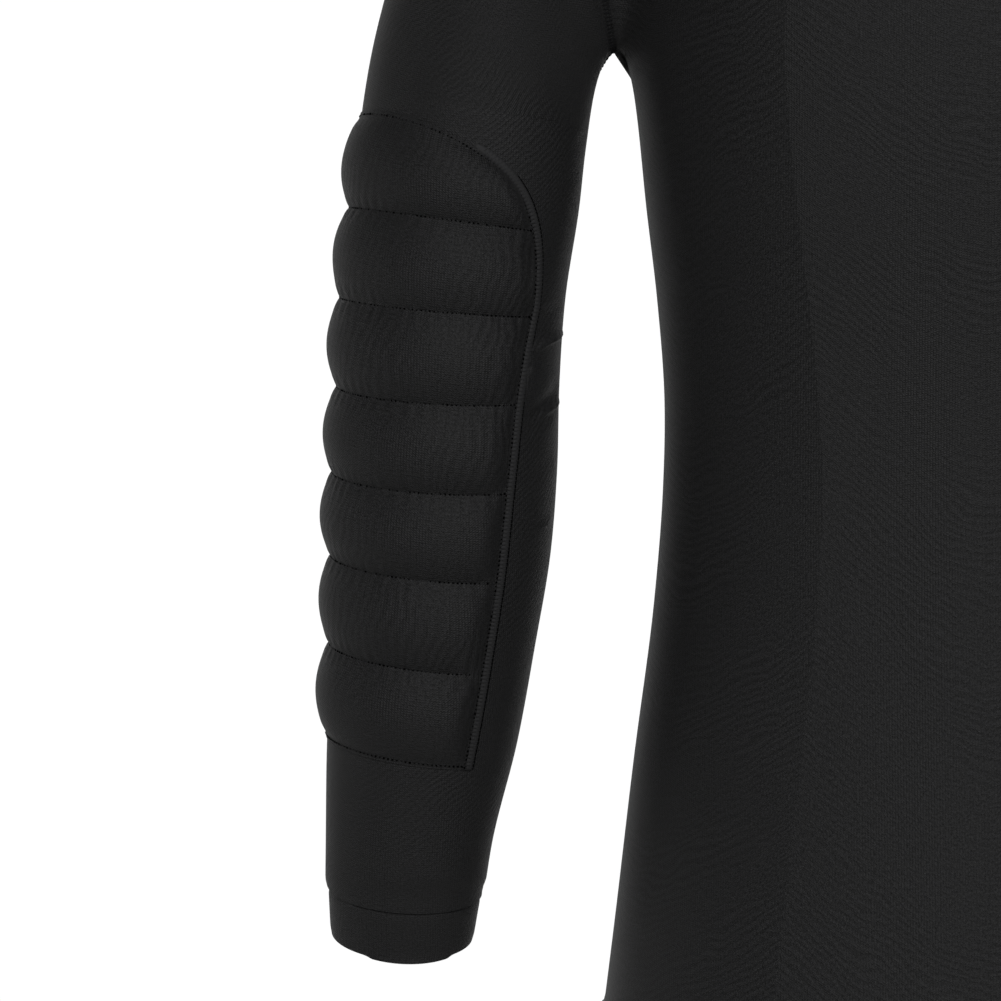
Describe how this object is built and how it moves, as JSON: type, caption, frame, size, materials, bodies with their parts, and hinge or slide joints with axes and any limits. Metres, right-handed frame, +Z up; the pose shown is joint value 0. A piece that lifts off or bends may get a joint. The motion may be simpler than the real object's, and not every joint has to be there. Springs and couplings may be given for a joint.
{
  "type": "padded compression shirt",
  "caption": "Close-fitting long-sleeved sports shirt in its worn form, with quilted foam pads over the elbows and forearms, a crew neckband and narrow cuffs.",
  "frame": {"origin": "middle of the base of the neck, where the shoulders hold the shirt up", "axes": "+Z up towards the neck, the wearer faces -Y, the wearer's left is +X"},
  "size_m": [0.635, 0.2388, 0.7108],
  "materials": {
    "panel_knit": "smooth matte knit",
    "sleeve_knit": "smooth matte knit",
    "pad_knit": "smooth matte knit over foam",
    "band_knit": "smooth matte knit"
  },
  "bodies": {
    "root": {"back_panel": "panel_knit", "front_panel": "panel_knit", "sleeve_left": "sleeve_knit", "sleeve_right": "sleeve_knit", "cuff_left": "band_knit", "cuff_right": "band_knit", "elbow_pad_left": "pad_knit", "elbow_pad_right": "pad_knit", "neckband": "band_knit"}
  },
  "joints": []
}
